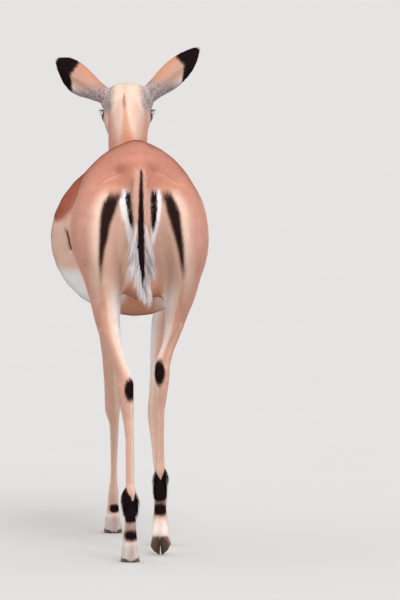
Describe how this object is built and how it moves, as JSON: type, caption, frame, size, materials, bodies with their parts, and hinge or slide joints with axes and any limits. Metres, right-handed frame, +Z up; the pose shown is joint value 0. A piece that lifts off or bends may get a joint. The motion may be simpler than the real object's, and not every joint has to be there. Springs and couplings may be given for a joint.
{
  "type": "impala ewe",
  "caption": "Life-size impala ewe walking: slim cloven-hoofed antelope with long ears, level neck, striped rump and hanging tail.",
  "frame": {"origin": "middle of the bounding box's base, on the ground the feet stand on", "axes": "+Z up, +Y forward along the body towards the nose, +X towards the animal's right side"},
  "size_m": [0.331, 1.2061, 1.032],
  "materials": {
    "coat_red": "short glossy hair",
    "coat_fawn": "short hair",
    "coat_pale": "short hair",
    "ear": "short hair, black at the tip",
    "horn": "hoof horn",
    "eye": "wet"
  },
  "bodies": {
    "root": {"trunk": "coat_red", "neck": "coat_fawn", "head": "coat_fawn", "tail": "coat_fawn", "ear_left": "ear", "ear_right": "ear", "eye_left": "eye", "eye_right": "eye", "hind_left_thigh": "coat_fawn", "hind_left_gaskin": "coat_pale", "hind_left_cannon": "coat_pale", "hind_left_pastern": "coat_pale", "hind_left_claw_outer": "horn", "hind_left_claw_inner": "horn", "hind_right_thigh": "coat_fawn", "hind_right_gaskin": "coat_pale", "hind_right_cannon": "coat_pale", "hind_right_pastern": "coat_pale", "hind_right_claw_outer": "horn", "hind_right_claw_inner": "horn", "fore_left_forearm": "coat_fawn", "fore_left_cannon": "coat_pale", "fore_left_pastern": "coat_pale", "fore_left_claw_outer": "horn", "fore_left_claw_inner": "horn", "fore_right_forearm": "coat_fawn", "fore_right_cannon": "coat_pale", "fore_right_pastern": "coat_pale", "fore_right_claw_outer": "horn", "fore_right_claw_inner": "horn"}
  },
  "joints": []
}
